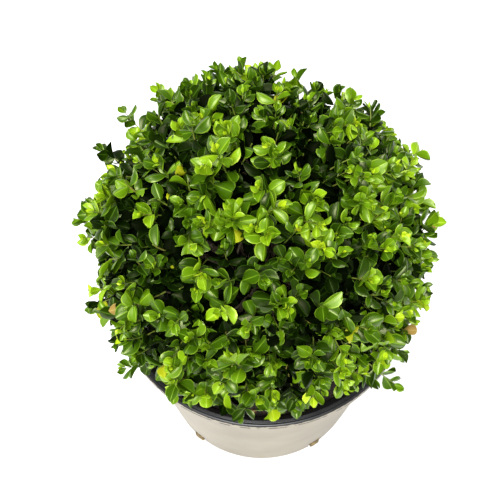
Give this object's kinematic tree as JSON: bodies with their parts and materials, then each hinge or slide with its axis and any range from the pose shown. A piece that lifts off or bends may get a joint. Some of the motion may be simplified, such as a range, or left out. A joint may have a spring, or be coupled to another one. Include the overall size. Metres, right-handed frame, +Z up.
{
  "type": "clipped box topiary ball growing in a round two-tone nursery pot",
  "caption": "Clipped box shrub grown as a dense leafy ball on a short hidden stem, in a tapered plastic nursery pot with an off-white outside, a black rim and drain holes.",
  "frame": {"origin": "middle of the pot's flat underside", "axes": "+Z up along the pot's axis, -Y towards the front, +X to the right seen from the front"},
  "size_m": [0.3068, 0.2915, 0.4413],
  "materials": {
    "pot_shell": "matte off-white, faintly speckled and soil-stained",
    "pot_rim": "satin black",
    "potting_mix": "rough, damp, crumbly",
    "bark": "rough, finely cracked",
    "foliage": "glossy small leaves"
  },
  "bodies": {
    "root": {"bough_lower_1": "bark", "bough_lower_2": "bark", "bough_lower_3": "bark", "bough_lower_4": "bark", "bough_lower_5": "bark", "bough_lower_6": "bark", "bough_lower_7": "bark", "bough_top": "bark", "bough_upper_1": "bark", "bough_upper_2": "bark", "bough_upper_3": "bark", "bough_upper_4": "bark", "bough_upper_5": "bark", "foliage_lower_1": "foliage", "foliage_lower_2": "foliage", "foliage_lower_3": "foliage", "foliage_lower_4": "foliage", "foliage_lower_5": "foliage", "foliage_lower_6": "foliage", "foliage_lower_7": "foliage", "foliage_top": "foliage", "foliage_upper_1": "foliage", "foliage_upper_2": "foliage", "foliage_upper_3": "foliage", "foliage_upper_4": "foliage", "foliage_upper_5": "foliage", "pot": "pot_shell", "pot_rim": "pot_rim", "potting_mix": "potting_mix", "stem": "bark"}
  },
  "joints": []
}
